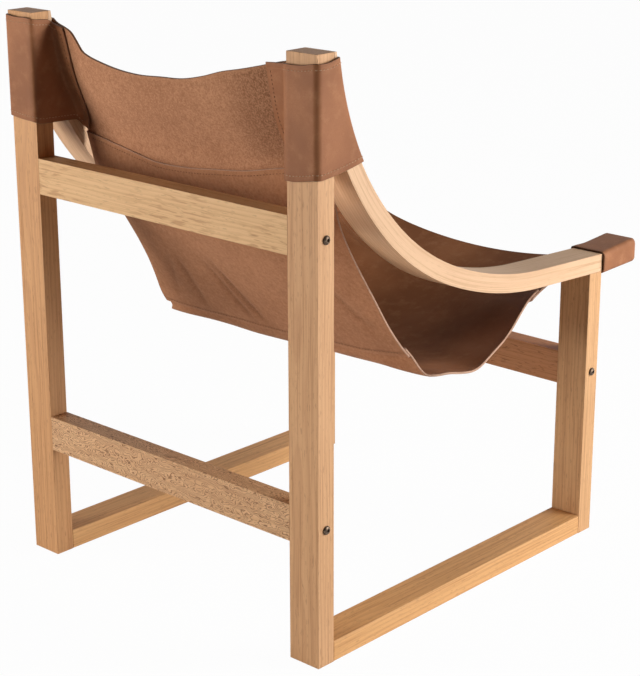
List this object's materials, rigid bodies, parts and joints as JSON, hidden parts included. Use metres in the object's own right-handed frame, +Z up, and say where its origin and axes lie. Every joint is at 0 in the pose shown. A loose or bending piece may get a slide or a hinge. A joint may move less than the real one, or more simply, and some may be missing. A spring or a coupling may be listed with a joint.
{
  "type": "leather sling lounge chair",
  "caption": "Low lounge chair with a thick leather sling hung from sleeves on the rear posts and pockets on bent timber arms, on bolted side frames with floor runners.",
  "frame": {"origin": "on the floor, under the middle of the chair's overall box", "axes": "+Z up, the sitter faces -Y, the sitter's left hand is at +X"},
  "size_m": [0.5776, 0.6939, 0.79],
  "materials": {
    "timber": "pale oiled open-pored hardwood, satin",
    "dowel_wood": "plain beech dowel",
    "bronze_bolt": "dark bronzed steel, satin",
    "zinc_steel": "zinc plated",
    "leather": "thick oiled hide, satin grain side to the sitter and on the sleeves, napped flesh side to the rear"
  },
  "bodies": {
    "root": {"arm_left": "timber", "arm_right": "timber", "arm_screw_left_1": "zinc_steel", "arm_screw_left_2": "zinc_steel", "arm_screw_right_1": "zinc_steel", "arm_screw_right_2": "zinc_steel", "arm_tip_pocket_left": "leather", "arm_tip_pocket_right": "leather", "front_post_left": "timber", "front_post_right": "timber", "front_rail": "timber", "front_rail_left_barrel_nut": "zinc_steel", "front_rail_left_bolt": "bronze_bolt", "front_rail_left_dowel_1": "dowel_wood", "front_rail_left_dowel_2": "dowel_wood", "front_rail_right_barrel_nut": "zinc_steel", "front_rail_right_bolt": "bronze_bolt", "front_rail_right_dowel_1": "dowel_wood", "front_rail_right_dowel_2": "dowel_wood", "lower_back_rail": "timber", "lower_back_rail_left_barrel_nut": "zinc_steel", "lower_back_rail_left_bolt": "bronze_bolt", "lower_back_rail_left_dowel_1": "dowel_wood", "lower_back_rail_left_dowel_2": "dowel_wood", "lower_back_rail_right_barrel_nut": "zinc_steel", "lower_back_rail_right_bolt": "bronze_bolt", "lower_back_rail_right_dowel_1": "dowel_wood", "lower_back_rail_right_dowel_2": "dowel_wood", "rear_post_left": "timber", "rear_post_right": "timber", "runner_left": "timber", "runner_right": "timber", "sling_back_panel": "leather", "sling_front_panel": "leather", "sling_seat_panel": "leather", "sling_top_panel": "leather", "upper_back_rail": "timber", "upper_back_rail_left_barrel_nut": "zinc_steel", "upper_back_rail_left_bolt": "bronze_bolt", "upper_back_rail_left_dowel_1": "dowel_wood", "upper_back_rail_left_dowel_2": "dowel_wood", "upper_back_rail_right_barrel_nut": "zinc_steel", "upper_back_rail_right_bolt": "bronze_bolt", "upper_back_rail_right_dowel_1": "dowel_wood", "upper_back_rail_right_dowel_2": "dowel_wood"}
  },
  "joints": []
}
